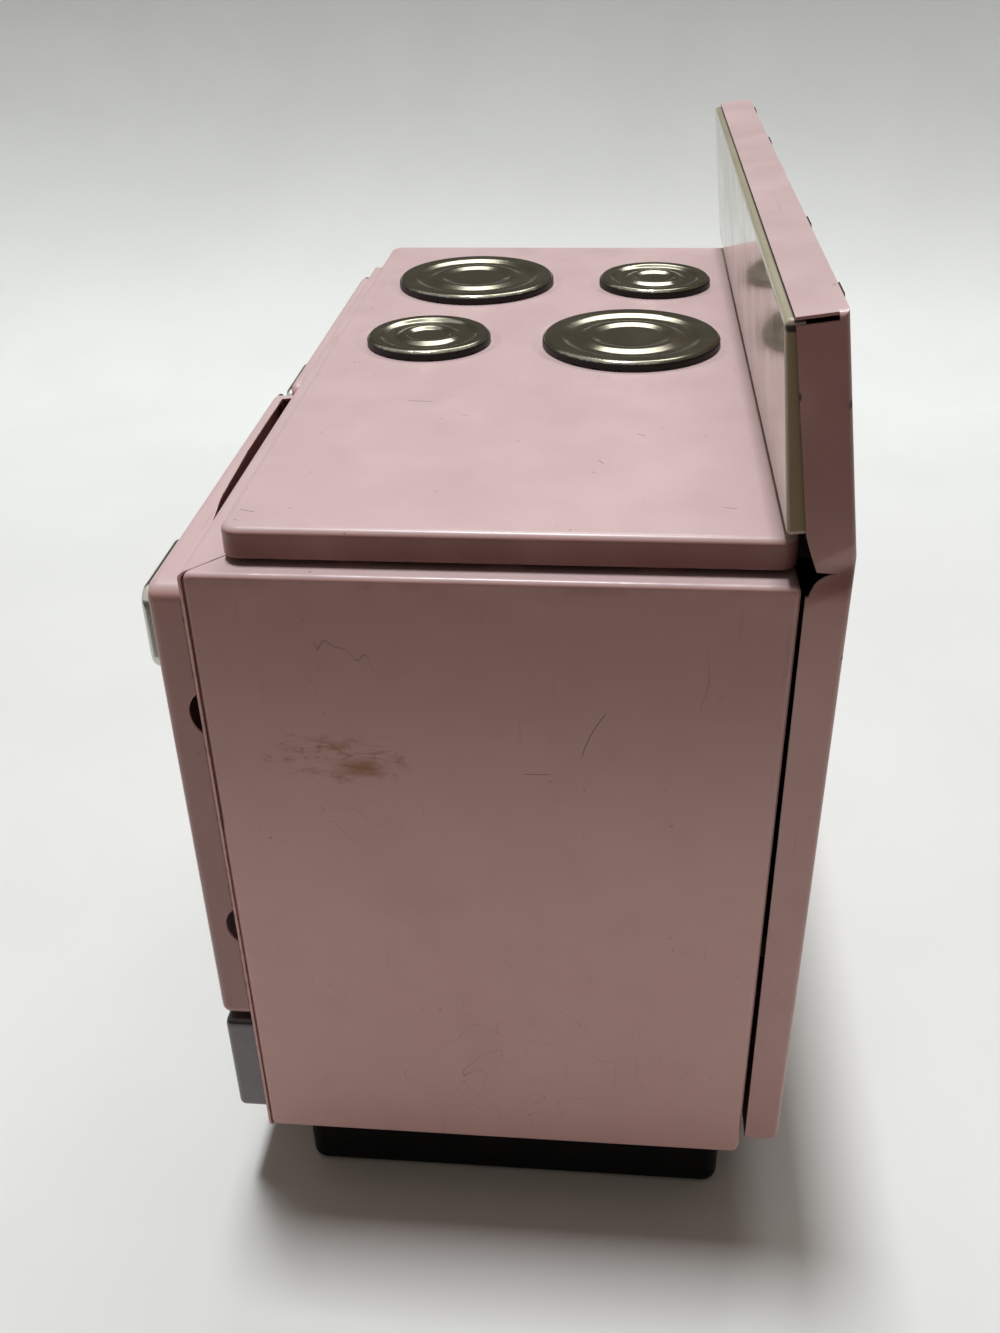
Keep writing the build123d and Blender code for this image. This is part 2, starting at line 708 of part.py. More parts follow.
def door_tray(door):
    left, depth = door["left"], door["depth"]
    outline = RectangleRounded(door_width, door_height, door_corner)
    middle_x = left + door_width / 2
    leaf = front_plane(middle_x, door_back, door_middle) * tray(outline, depth, door["edge"])

    x, y = hinge_axis(door)
    # room to swing: nothing left of the rod lies further from it than the front frame does
    swing_radius = frame_front - y - slip
    keep_back = sqrt(swing_radius ** 2 - hinge_inset ** 2)
    if y + keep_back < door_back:
        leaf -= slab(left - past, x, y + keep_back, door_back + past,
                     door_bottom - past, door_top + past)
    # a notch in the hinge edge for each knuckle, and a half-moon notch in the free edge
    moon_radius = (latch_notch_height ** 2 / 4 + latch_notch_depth ** 2) / (2 * latch_notch_depth)
    for z in knuckle_heights():
        tall = knuckle_height / 2 + 2 * slip
        leaf -= slab(left - past, x - rod_radius, y - slip, door_back + past,
                     z - tall, z + tall)
        moon = Pos(left + door_width, door_back + moon_radius - latch_notch_depth, z)
        leaf -= moon * Rot(0, 90, 0) * Cylinder(moon_radius, 6 * sheet)
    # the top flange of the deeper tray is bowed away from the frame
    if door["relief"]:
        run, behind = bow_shoulder
        first, second = (left + door_width * share for share in bow_lows)
        bow = Polygon(
            (left + bow_start * hinge_inset, door_back + past),
            (left + (bow_start + run) * hinge_inset, y + behind),
            (first, door_back - door["relief"]),
            (second, door_back - bow_second * door["relief"]),
            (left + door_width * bow_end, door_back + past), align=None,
        )
        leaf -= Pos(0, 0, door_top - sheet - touch / 2) * extrude(bow, amount=2 * sheet)
    rod_room = Cylinder(rod_radius + rod_clearance / 2, door_height + 2 * past)
    leaf -= Pos(x, y, door_middle) * rod_room
    for place in handle_tabs(door):
        leaf -= place * Pos(0, 0, -sheet - sheet / 2) * tab_slot(tab_width)
    return leaf


def hinge_rod(door):
    x, y = hinge_axis(door)
    rod = Pos(x, y, door_middle) * Cylinder(rod_radius, door_height)
    return chamfer(rod.edges(), rod_chamfer)


def door_handle(door):
    """A plated pull: a shallow lid over the door's corner with a pressed finger dish."""
    x, z = handle_centre(door)
    face = door_back - door["depth"]
    outline = RectangleRounded(handle_width, handle_height, handle_corner)
    dish = offset(outline, amount=-handle_border)
    lid = tray(outline, handle_depth, fold)
    lid -= Pos(0, 0, handle_depth) * extrude(dish, amount=2 * sheet, both=True)
    bowl = Pos(0, 0, handle_depth) * Rot(180, 0, 0) * tray(
        offset(dish, amount=sheet), handle_dish, handle_dish_edge
    )
    pull = front_plane(x, face, z) * (lid + bowl)
    drop = sheet + sheet + touch + sheet
    return pull + [place * tab(tab_width, drop, tab_toe) for place in handle_tabs(door)]


# ---------------------------------------------------------------- write one STEP per piece
def pieces():
    right_side = side_panel()
    made = {
        "right_side_panel": right_side,
        "left_side_panel": mirror(right_side, about=Plane.YZ) - shelf_slot_cuts,
        "front_frame": front_frame(),
        "back_panel": back_panel(),
        "control_face": control_face(),
        "cooktop": cooktop(),
        "kick_panel": kick_panel(),
        "plinth": plinth(),
        "floor_pan": floor_pan(),
        "rear_rail": rear_rail(),
        "partition": partition(),
        "oven_shelf": oven_shelf(),
    }
    for name, (x, y, radius, crest) in burners.items():
        made[name] = Pos(x, y, seat_z) * burner(radius, crest)
    for name, door in doors.items():
        made[name] = door_tray(door)
        made[name + "_handle"] = door_handle(door)
        made[name + "_hinge_rod"] = hinge_rod(door)
    return made


os.makedirs("parts", exist_ok=True)
for name, piece in pieces().items():
    export_step(piece, "parts/" + name + ".step")
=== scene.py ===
import math

import bpy
from mathutils import Matrix, Vector


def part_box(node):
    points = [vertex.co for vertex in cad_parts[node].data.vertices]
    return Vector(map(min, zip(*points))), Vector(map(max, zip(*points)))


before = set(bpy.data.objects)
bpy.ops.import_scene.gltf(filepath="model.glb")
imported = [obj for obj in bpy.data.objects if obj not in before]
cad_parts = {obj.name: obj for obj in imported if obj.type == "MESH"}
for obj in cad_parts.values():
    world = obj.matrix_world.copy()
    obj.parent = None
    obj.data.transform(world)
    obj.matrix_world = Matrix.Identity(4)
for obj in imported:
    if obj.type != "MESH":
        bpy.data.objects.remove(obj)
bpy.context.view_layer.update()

MM = 0.001

# ---------------------------------------------------------------- the view
CAMERA_PLACE = (0.4245, 0.0318, 0.3785)
CAMERA_DOWN = 31.62          # degrees below the horizon
CAMERA_YAW = 5.82            # degrees that the view turns to the front of the range
CAMERA_ROLL = -1.39
LENS = 35.14                 # mm
SENSOR = 36.0                # mm, along the image's longer side

# ---------------------------------------------------------------- colours (linear)
PINK = (0.650, 0.362, 0.330)
PINK_WORN = (0.680, 0.400, 0.368)
PINK_TOP_SHEEN = (0.640, 0.475, 0.480)     # painted sheen: upward faces paler, standing in for the overhead lamp's reflection
# dark pink for dirt and specks, and for painted shade on upright sheet
PINK_DIRT_AND_SHADE = (0.235, 0.090, 0.076)
CREAM = (0.520, 0.480, 0.350)
CREAM_AGED = (0.390, 0.345, 0.220)
# painted shade on the control face's near end
CREAM_SHADED = (0.260, 0.185, 0.105)
DIAL_INK = (0.060, 0.050, 0.045)
GREY = (0.200, 0.172, 0.182)
GREY_WORN = (0.130, 0.110, 0.116)
BLACK = (0.005, 0.005, 0.005)
DUST = (0.030, 0.024, 0.020)
BARE_STEEL = (0.035, 0.026, 0.022)
RUST = (0.300, 0.095, 0.020)
BURNER_PLATE = (0.330, 0.312, 0.250)
HANDLE_PLATE = (0.620, 0.600, 0.550)
HINGE_WIRE = (0.400, 0.380, 0.340)
PLATE_BROWN = (0.010, 0.007, 0.006)
TIN = (0.330, 0.315, 0.285)
FLOOR = (0.785, 0.808, 0.795)
FELT = (0.030, 0.029, 0.027)
FELT_WORN = (0.022, 0.021, 0.020)

# ---------------------------------------------------------------- where dirt and painted shade lie (metres)
# each pair is where a mask starts and where it ends: heights, or Y where the name says so
# painted shade on the right side: darker from the first height up to the second
SIDE_SHADE = (0.110, 0.228)
SIDE_FOLD = (0.2225, 0.2275)           # the side panel's top fold
SIDE_PUCKERS = (0.2185, 0.2260)        # the sheet just under that fold
SIDE_FRONT_Y = (-0.0752, -0.0758)      # the side panel's front edge,
SIDE_FRONT_DARK = (0.146, 0.152)       # which is dark from here up
RIM = (0.2318, 0.2392)                 # the cooktop's upright rim
# painted shade on the backsplash's upright sheet grows over these heights
SPLASH_SHADE = (0.195, 0.262)
# painted shade on the doors' near ends, over these heights
DOOR_SHADE = (0.080, 0.220)
FACE_SEAM_Y = (0.0680, 0.0686)         # where the control face meets the backsplash
KICK_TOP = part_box("kick_panel")[1][2]
# painted shade: a dark band along the kick panel's top, below the doors
KICK_GAP_SHADE = (KICK_TOP - 0.0016, KICK_TOP - 0.0011)

BURNER_BROWN_BELOW = 0.2420            # the burners' skirts are blackened up to here
KNEE = 0.232                           # the backsplash turns forward here
CREASE_Y, CREASE_Z = 0.0842, 0.2342    # a point on the crease across its end flanges,
CREASE_SLOPE = 0.6                     # and how that crease rises towards the back

# ---------------------------------------------------------------- marks (mm, degrees)
NEAR_SIDE = 145.0                      # X of the right side
STAIN = (NEAR_SIDE, -41.0, 175.0)
STAIN_CORE = (NEAR_SIDE, -36.0, 172.5)
DULL_PATCH = (NEAR_SIDE, -25.0, 127.0)

# hairlines on the right side: centre, half sizes, and the noise's scale, offset, stretch
# and the share of its range that is a line
SIDE_HAIRLINES = (
    ((NEAR_SIDE, -36.0, 205.0), (8, 15, 13), 75.0, (0.0, 3.0, 0.0), (1.0, 1.3, 0.45), 0.006),
    ((NEAR_SIDE, 54.0, 203.0), (8, 9, 11), 90.0, (4.0, 0.0, 1.0), (1.0, 1.2, 0.4), 0.006),
    ((NEAR_SIDE, -37.0, 152.0), (8, 14, 12), 120.0, (6.0, 2.0, 0.0), None, 0.006),
    ((NEAR_SIDE, 10.0, 60.0), (8, 60, 30), 60.0, (1.0, 7.0, 3.0), None, 0.0025),
)
# scratches: centre in the sheet's plane, angle, length, bend and width
SIDE_SCRATCHES = (
    ((26.7, 185.4), 66.5, 18, -0.24, 0.26),
    ((12.5, 172.0), 2, 8, 0.05, 0.20),
)
COOKTOP_SCRATCHES = (
    ((48.5, -29.0), 82, 9, 0.10, 0.30),
    ((73.6, 37.9), 60, 3, 0.0, 0.30),
    ((129.0, -62.0), 70, 5, 0.10, 0.25),
    ((93.7, 27.0), 30, 3, 0.0, 0.25),
    ((122.0, 60.0), 80, 4, 0.10, 0.25),
    ((60.0, -14.0), 75, 3, 0.0, 0.22),
)
# chips down to the steel: centre, half sizes, softness and raggedness
CHIP_NOISE = 300.0
SPLASH_CHIPS = (
    ((NEAR_SIDE, 70.9, 277.3), (2.0, 0.8, 1.6), 0.6, 0.5),
    ((NEAR_SIDE, 82.6, 275.8), (2.0, 0.9, 1.8), 0.6, 0.5),
    ((NEAR_SIDE, 88.4, 210.5), (2.0, 1.1, 1.2), 0.6, 0.5),
)
FACE_CHIPS = (
    ((15.0, 68.8, 291.0), (2.4, 2.0, 1.6), 0.6, 0.6),
    ((72.0, 67.0, 288.5), (3.0, 1.6, 1.6), 0.6, 0.6),
    ((144.3, 67.5, 292.4), (1.6, 3.4, 1.2), 0.5, 0.4),
)

# printed dials on the control face: middle along the range, radius, number of tick marks
DIAL_HEIGHT = 268.0
DIAL_LINE = 0.35                       # how far the ink's edges fade
DIALS = (
    (-112.0, 9.0, 10), (-84.0, 9.0, 10), (-56.0, 9.0, 10), (-28.0, 9.0, 10),
    (20.0, 15.0, 12), (72.0, 11.0, 12),
)

# a Mix node's sockets when it mixes colours
MIX_SHARE, MIX_FIRST, MIX_SECOND, MIX_RESULT = 0, 6, 7, 2


def shade(colour, factor):
    return tuple(factor * c for c in colour)


# ---------------------------------------------------------------- node helpers
class Shader:
    """A material built by calls: each returns a socket that the next can take.

    A mask is a socket that gives 0 to 1.
    """

    def __init__(self, name):
        self.material = bpy.data.materials.new(name)
        self.material.use_nodes = True
        self.tree = self.material.node_tree
        self.shader = self.tree.nodes["Principled BSDF"]
        self.point = self.add("TexCoord").outputs["Object"]
        self.coordinates = None

    def add(self, kind, **values):
        made = self.tree.nodes.new("ShaderNode" + kind)
        for key, value in values.items():
            setattr(made, key, value)
        return made

    def put(self, socket, value):
        """Feed an input from another node's socket, or set it to a constant."""
        if isinstance(value, bpy.types.NodeSocket):
            self.tree.links.new(value, socket)
        elif socket.type == "RGBA":
            socket.default_value = (*value, 1.0)
        else:
            socket.default_value = value

    def math(self, operation, *values):
        made = self.add("Math", operation=operation)
        for socket, value in zip(made.inputs, values):
            self.put(socket, value)
        return made.outputs[0]

    def times(self, first, *others):
        for other in others:
            first = self.math("MULTIPLY", first, other)
        return first

    def highest(self, first, *others):
        for other in others:
            first = self.math("MAXIMUM", first, other)
        return first

    def away(self, value, middle):
        """How far a value is from its middle, on either side."""
        return self.math("ABSOLUTE", self.math("SUBTRACT", value, middle))

    def vector(self, operation, *values):
        made = self.add("VectorMath", operation=operation)
        for socket, value in zip(made.inputs, values):
            self.put(socket, value)
        return made.outputs["Value" if operation in ("LENGTH", "DOT_PRODUCT") else "Vector"]

    def noise(self, scale, detail=3.0, roughness=0.55, stretch=None, offset=None, distortion=0.0):
        at = self.point
        if stretch:
            at = self.vector("MULTIPLY", at, stretch)
        if offset:
            at = self.vector("ADD", at, offset)
        made = self.add("TexNoise")
        for key, value in (("Vector", at), ("Scale", scale), ("Detail", detail),
                           ("Roughness", roughness), ("Distortion", distortion)):
            self.put(made.inputs[key], value)
        return made.outputs["Fac"]

    def ramp(self, value, low, high, start=0.0, end=1.0):
        """start up to low, end from high on, smooth between them; low may be above high."""
        made = self.add("MapRange", interpolation_type="SMOOTHSTEP")
        for key, put in (("Value", value), ("From Min", low), ("From Max", high),
                         ("To Min", start), ("To Max", end)):
            self.put(made.inputs[key], put)
        return made.outputs["Result"]

    def mix(self, share, first, second):
        """The first colour where share is 0, the second one where it is 1."""
        made = self.add("Mix", data_type="RGBA")
        self.put(made.inputs[MIX_SHARE], share)
        self.put(made.inputs[MIX_FIRST], first)
        self.put(made.inputs[MIX_SECOND], second)
        return made.outputs[MIX_RESULT]

    def axis(self, name):
        """The point's X, Y or Z on the range at rest, in metres."""
        if self.coordinates is None:
            self.coordinates = self.add("SeparateXYZ")
            self.put(self.coordinates.inputs[0], self.point)
        return self.coordinates.outputs[name]

    def facing(self, axis, low, high):
        """A mask from low to high of how squarely the surface faces along an axis."""
        normal = self.add("SeparateXYZ")
        self.put(normal.inputs[0], self.add("NewGeometry").outputs["True Normal"])
        return self.ramp(normal.outputs[axis], low, high)

    def edges(self, radius):
        """1 on sharp folds and cut edges, 0 on flat sheet."""
        bevel = self.add("Bevel", samples=4)
        self.put(bevel.inputs["Radius"], radius)
        flat = self.add("NewGeometry").outputs["Normal"]
        cosine = self.vector("DOT_PRODUCT", bevel.outputs["Normal"], flat)
        return self.ramp(cosine, 0.68, 0.90, 1.0, 0.0)

    def set(self, **values):
        for key, value in values.items():
            self.put(self.shader.inputs[key.replace("_", " ")], value)

    def relief(self, *layers):
        """Bump from (height, distance in metres) layers, the first one lowest."""
        normal = None
        for height, distance in layers:
            bump = self.add("Bump")
            self.put(bump.inputs["Height"], height)
            self.put(bump.inputs["Distance"], distance)
            self.put(bump.inputs["Strength"], 1.0)
            if normal is not None:
                self.put(bump.inputs["Normal"], normal)
            normal = bump.outputs["Normal"]
        self.put(self.shader.inputs["Normal"], normal)


def blotch(s, centre, size, softness, raggedness, scale):
    """A ragged patch: 1 inside an ellipsoid of half sizes `size` about `centre`, in mm."""
    off = s.vector("SUBTRACT", s.point, shade(centre, MM))
    distance = s.vector("LENGTH", s.vector("DIVIDE", off, shade(size, MM)))
    ragged = s.math("MULTIPLY_ADD", s.noise(scale, 5.0, 0.7), 2 * raggedness, -raggedness)
    return s.ramp(s.math("ADD", distance, ragged), 1.0 - softness, 1.0, 1.0, 0.0)


def scratch(s, axes, centre, angle, length, bend, width):
    """A thin curved scratch in the plane of two axes: centre, length and width in mm."""
    u = s.math("SUBTRACT", s.axis(axes[0]), centre[0] * MM)
    v = s.math("SUBTRACT", s.axis(axes[1]), centre[1] * MM)
    cosine, sine = math.cos(math.radians(angle)), math.sin(math.radians(angle))
    along = s.math("ADD", s.times(u, cosine), s.times(v, sine))
    across = s.math("SUBTRACT", s.times(v, cosine), s.times(u, sine))
    curve = s.times(along, along, bend / (length * MM))
    thin = s.ramp(s.away(across, curve), 0.3 * width * MM, width * MM, 1.0, 0.0)
    ends = s.ramp(s.math("ABSOLUTE", along), 0.35 * length * MM, 0.5 * length * MM, 1.0, 0.0)
    return s.times(thin, ends)


def scribble(s, centre, size, scale, offset, stretch, width):
    """Curved hairlines inside an ellipsoid: the lines along which a noise has one value."""
    level = s.noise(scale, 1.0, 0.3, stretch=stretch, offset=offset, distortion=0.4)
    lines = s.ramp(s.away(level, 0.5), 0.3 * width, width, 1.0, 0.0)
    return s.times(lines, blotch(s, centre, size, 0.5, 0.9, 180.0))


def chips(s, places):
    return s.highest(*(blotch(s, *place, CHIP_NOISE) for place in places))


# ---------------------------------------------------------------- materials
def pink_enamel(name, marks=None, shade_and_dirt=None, extra_relief=None, chipped=1.0):
    """Stove enamel on tinplate: faint fading, specks, hair scratches, chips on the folds. Upward
    faces take a paler painted sheen.

    marks(s) gives a mask of rust, or None, and one of bare steel. The third argument gives
    a mask of painted shade, with some dirt, on upright sheet, and extra_relief(s) more layers
    of relief. chipped is how bare the chips on the folds are.
    """
    s = Shader(name)
    worn = s.ramp(s.noise(16.0, 3.0), 0.35, 0.70)
    colour = s.mix(s.times(worn, 0.45), PINK, PINK_WORN)
    # painted sheen: upward faces turn a paler, lighter pink
    colour = s.mix(s.facing("Z", 0.35, 0.90), colour, PINK_TOP_SHEEN)
    mottle = s.ramp(s.noise(70.0, 2.0, 0.5, offset=(3.1, 0.4, 1.7)), 0.40, 0.80)
    colour = s.mix(s.times(mottle, 0.06), colour, PINK_DIRT_AND_SHADE)
    specks = s.ramp(s.noise(420.0, 2.0, 0.5, offset=(0.2, 5.3, 0.9)), 0.735, 0.775)
    specks = s.times(specks, 0.5)
    hair = s.noise(150.0, 2.0, 0.4, stretch=(0.25, 3.0, 0.25), offset=(1.0, 2.0, 3.0))
    hair = s.times(s.ramp(hair, 0.70, 0.80), 0.14)
    colour = s.mix(s.highest(specks, hair), colour, PINK_DIRT_AND_SHADE)
    # painted shade, with some dirt: upright sheet darkens where the mask says
    if shade_and_dirt:
        upright = s.math("SUBTRACT", 1.0, s.facing("Z", 0.20, 0.60))
        colour = s.mix(s.times(shade_and_dirt(s), upright), colour, PINK_DIRT_AND_SHADE)
    wear = s.ramp(s.noise(260.0, 3.0), 0.52, 0.60, 0.0, chipped)
    bare = s.times(s.edges(0.0006), wear)
    if marks:
        rust, bare_marks = marks(s)
        if rust is not None:
            colour = s.mix(rust, colour, RUST)
        bare = s.highest(bare, bare_marks)
    colour = s.mix(bare, colour, BARE_STEEL)
    rough = s.ramp(s.noise(38.0, 4.0, 0.6, offset=(4.0, 1.0, 2.0)), 0.3, 0.75, 0.29, 0.42)
    rough = s.highest(rough, s.times(s.highest(bare, specks), 0.6))
    s.set(Base_Color=colour, Roughness=rough, Coat_Weight=0.10, Coat_Roughness=0.12)
    s.relief(
        (s.noise(26.0, 1.0, 0.4), 0.00030),
        (s.noise(900.0, 2.0, 0.5), 0.000012),
        (s.math("SUBTRACT", 1.0, bare), 0.00002),
        *(extra_relief(s) if extra_relief else ()),
    )
    return s.material


def side_marks(s):
    """Right side panel: a streaked rust stain, hairlines and two deeper scratches."""
    streaks = s.noise(300.0, 4.0, 0.7, stretch=(1.0, 0.22, 1.0))
    core = s.times(blotch(s, STAIN_CORE, (8, 11, 5), 0.8, 0.8, 220.0),
                   s.ramp(streaks, 0.36, 0.60, 0.25, 0.95))
    wide = s.times(blotch(s, STAIN, (8, 23, 9), 0.8, 0.9, 160.0),
                   s.ramp(streaks, 0.46, 0.56, 0.0, 0.85))
    strands = scribble(s, STAIN, (8, 24, 11), 260.0, (2.0, 0.0, 5.0), (1.0, 0.25, 1.2), 0.020)
    hairlines = s.highest(*(scribble(s, *line) for line in SIDE_HAIRLINES))
    lines = s.highest(*(scratch(s, ("Y", "Z"), *line) for line in SIDE_SCRATCHES),
                      s.times(hairlines, 0.55))
    return s.highest(core, wide, s.times(strands, 0.5)), s.times(lines, 0.6)


def side_shade_and_dirt(s):
    """Painted shade that thickens to the top fold, a dull patch of dirt and a dark front edge."""
    # painted shade: darker towards the top, and in a ragged band at the fold
    high = s.ramp(s.axis("Z"), *SIDE_SHADE, 0.0, 0.50)
    patch = s.times(blotch(s, DULL_PATCH, (9, 26, 15), 0.9, 0.6, 50.0), 0.09)
    fold = s.times(s.ramp(s.axis("Z"), *SIDE_FOLD),
                   s.ramp(s.noise(45.0, 3.0, stretch=(1.0, 1.0, 0.2)), 0.30, 0.65, 0.15, 0.60))
    front = s.times(s.ramp(s.axis("Y"), *SIDE_FRONT_Y),
                    s.ramp(s.axis("Z"), *SIDE_FRONT_DARK, 0.0, 0.9))
    return s.highest(s.math("ADD", high, patch), fold, front)


def side_wrinkles(s):
    """The sheet is slightly puckered along its top fold."""
    band = s.ramp(s.axis("Z"), *SIDE_PUCKERS)
    ripples = s.noise(55.0, 2.0, 0.5, stretch=(0.3, 1.0, 0.5), offset=(0.0, 2.2, 0.0))
    return ((s.times(band, s.math("SUBTRACT", ripples, 0.5)), 0.0012),)


def cooktop_marks(s):
    """A few short scratches in the worktop."""
    lines = s.highest(*(scratch(s, ("X", "Y"), *line) for line in COOKTOP_SCRATCHES))
    return None, s.times(lines, 0.6)


def cooktop_rim_shade(s):
    """Painted shade on the cooktop's upright rim, darkest at the gap below it."""
    return s.times(s.ramp(s.axis("Z"), *RIM, 1.0, 0.90),
                   s.ramp(s.noise(30.0, 3.0), 0.2, 0.6, 0.8, 1.0))


def splash_marks(s):
    """The backsplash's flanges have bare cut edges at the front, and chips."""
    cut = s.facing("Y", -0.75, -0.95)
    return None, s.highest(s.times(cut, 0.95), chips(s, SPLASH_CHIPS))


def splash_shade(s):
    """Painted shade on the backsplash's upright sheet, growing towards its top and deepest in the
    crease where it turns forward.
    """
    high = s.ramp(s.axis("Z"), *SPLASH_SHADE, 0.28, 0.78)
    knee = s.ramp(s.away(s.axis("Z"), KNEE), 0.001, 0.012, 0.92, 0.0)
    return s.times(s.highest(high, knee), s.ramp(s.noise(30.0, 3.0), 0.2, 0.6, 0.75, 1.0))


def splash_crease(s):
    """The soft crease where each end flange turns forward."""
    rise = s.math("MULTIPLY_ADD", s.axis("Y"), CREASE_SLOPE, CREASE_Z - CREASE_SLOPE * CREASE_Y)
    groove = s.times(s.ramp(s.away(s.axis("Z"), rise), 0.0, 0.0065, 1.0, 0.0),
                     s.facing("X", 0.3, 0.9))
    return ((s.math("SUBTRACT", 1.0, groove), 0.0011),)


def door_end_shade(s):
    """Painted shade: the doors' ends that face the near side are darker than their faces."""
    return s.times(s.ramp(s.axis("Z"), *DOOR_SHADE, 0.72, 0.62), s.facing("X", 0.3, 0.9))


def printed_dial(s, x, radius, ticks):
    """Tick marks and two thin rings, with a pointer: middle and radius in mm."""
    radius = radius * MM
    u = s.math("SUBTRACT", s.axis("X"), x * MM)
    v = s.math("SUBTRACT", s.axis("Z"), DIAL_HEIGHT * MM)
    out = s.math("SQRT", s.math("ADD", s.times(u, u), s.times(v, v)))
    turn = s.times(s.math("ARCTAN2", v, u), ticks / (2 * math.pi))
    tick = s.ramp(s.math("PINGPONG", turn, 0.5), 0.06, 0.09, 1.0, 0.0)
    shapes = []
    for middle, half, share in ((0.92, 0.08, tick), (1.10, 0.02, 1.0), (0.60, 0.02, 1.0)):
        ring = s.ramp(s.away(out, middle * radius), half * radius,
                      half * radius + DIAL_LINE * MM, 1.0, 0.0)
        shapes.append(s.times(ring, share))
    pointer = s.times(
        s.ramp(s.math("ABSOLUTE", u), 0.4 * MM, 0.6 * MM, 1.0, 0.0),
        s.ramp(s.away(v, 0.25 * radius), 0.25 * radius, 0.28 * radius, 1.0, 0.0))
    return s.highest(pointer, *shapes)


def cream_enamel():
    """Aged cream enamel on the control face, chipped along its upper edge, with painted shade on
    its near end.
    """
    s = Shader("cream_enamel")
    colour = s.mix(s.ramp(s.noise(30.0, 3.0), 0.35, 0.75, 0.0, 0.5), CREAM, CREAM_AGED)
    # painted shade: the end that faces the near side is darker
    colour = s.mix(s.facing("X", 0.3, 0.9), colour, CREAM_SHADED)
    dials = s.highest(*(printed_dial(s, *dial) for dial in DIALS))
    colour = s.mix(s.times(dials, s.facing("Y", -0.6, -0.9)), colour, DIAL_INK)
    worn = s.times(s.edges(0.0008), s.ramp(s.noise(190.0, 3.0), 0.60, 0.66))
    spots = s.ramp(s.noise(330.0, 1.0, offset=(7.0, 2.0, 1.0)), 0.76, 0.79)
    seam = s.times(s.ramp(s.axis("Y"), *FACE_SEAM_Y), s.facing("Z", 0.3, 0.8))
    bare = s.highest(worn, spots, seam, chips(s, FACE_CHIPS))
    s.set(Base_Color=s.mix(bare, colour, BARE_STEEL),
          Roughness=s.ramp(s.noise(45.0), 0.3, 0.7, 0.10, 0.20),
          Coat_Weight=0.4, Coat_Roughness=0.06)
    s.relief((s.noise(22.0, 1.0, 0.4), 0.0003), (s.noise(700.0), 0.000008))
    return s.material


def grey_enamel():
    """Worn grey enamel on the kick panel, bare on worn edges, with a painted shade band along its
    upper edge below the doors.
    """
    s = Shader("grey_enamel")
    colour = s.mix(s.ramp(s.noise(50.0, 4.0), 0.4, 0.7, 0.0, 0.4), GREY, GREY_WORN)
    worn = s.times(s.edges(0.0006), s.ramp(s.noise(240.0), 0.52, 0.60))
    # painted shade: a dark band along the top edge, where the gap under the doors lies, joins the
    # worn edges
    bare = s.highest(worn, s.ramp(s.axis("Z"), *KICK_GAP_SHADE))
    s.set(Base_Color=s.mix(bare, colour, BARE_STEEL), Roughness=0.34)
    s.relief((s.noise(30.0, 1.0), 0.0004), (s.noise(900.0), 0.00001))
    return s.material


def black_enamel():
    """Satin black on the plinth, with a little dust."""
    s = Shader("black_enamel")
    dusty = s.ramp(s.noise(60.0, 5.0, 0.7), 0.5, 0.8, 0.0, 0.15)
    s.set(Base_Color=s.mix(dusty, BLACK, DUST),
          Roughness=s.ramp(s.noise(80.0, 4.0), 0.3, 0.7, 0.38, 0.55),
          Specular_IOR_Level=0.08)
    s.relief((s.noise(35.0, 1.0), 0.0004), (s.noise(800.0), 0.00002))
    return s.material


def plate(name, colour, brown_below=None):
    """Bright plating, dulled in patches, blackened below a ragged height in metres."""
    s = Shader(name)
    dull = s.ramp(s.noise(60.0, 3.0, 0.5), 0.35, 0.75)
    tint = s.mix(s.times(dull, 0.30), colour, shade(colour, 0.6))
    dark = s.ramp(s.noise(1100.0, 1.0, offset=(2.0, 8.0, 4.0)), 0.74, 0.78, 0.0, 0.7)
    if brown_below is not None:
        edge = s.math("MULTIPLY_ADD", s.noise(420.0, 3.0, 0.7), 0.0020, brown_below - 0.0010)
        above = s.math("SUBTRACT", s.axis("Z"), edge)
        brown = s.ramp(above, -0.0002, 0.0002, 1.0, 0.0)
        dark = s.highest(dark, s.times(brown, s.facing("Z", 0.85, 0.60)))
    rough = s.math("ADD", s.ramp(dull, 0.0, 1.0, 0.16, 0.22), s.times(dark, 0.25))
    s.set(Base_Color=s.mix(dark, tint, PLATE_BROWN), Roughness=rough,
          Metallic=s.ramp(dark, 0.3, 0.9, 1.0, 0.0), Specular_IOR_Level=0.2)
    s.relief((s.noise(60.0, 1.0, 0.4), 0.00005), (s.noise(1500.0, 2.0), 0.000003))
    return s.material


def tinplate():
    """Bare tinplate inside the range: rolled grain, dull spangle and faint rust."""
    s = Shader("bare_tinplate")
    grain = s.noise(260.0, 4.0, 0.7, stretch=(1.0, 0.06, 1.0))
    spangle = s.ramp(s.noise(55.0, 3.0), 0.3, 0.7)
    colour = s.mix(spangle, TIN, shade(TIN, 0.78))
    stain = s.ramp(s.noise(35.0, 5.0, 0.7, offset=(9.0, 1.0, 1.0)), 0.60, 0.72)
    s.set(Base_Color=s.mix(s.times(stain, 0.5), colour, RUST), Metallic=0.85,
          Roughness=s.ramp(grain, 0.3, 0.7, 0.28, 0.42))
    s.relief((s.noise(30.0, 1.0), 0.0004), (grain, 0.00001))
    return s.material


def floor_material():
    """A plain pale floor and backdrop, faintly uneven in colour."""
    s = Shader("floor")
    uneven = s.ramp(s.noise(9.0, 4.0), 0.3, 0.7)
    s.set(Base_Color=s.mix(uneven, FLOOR, shade(FLOOR, 0.965)), Roughness=0.55,
          Specular_IOR_Level=0.25)
    s.relief((s.noise(420.0, 3.0), 0.00003))
    return s.material


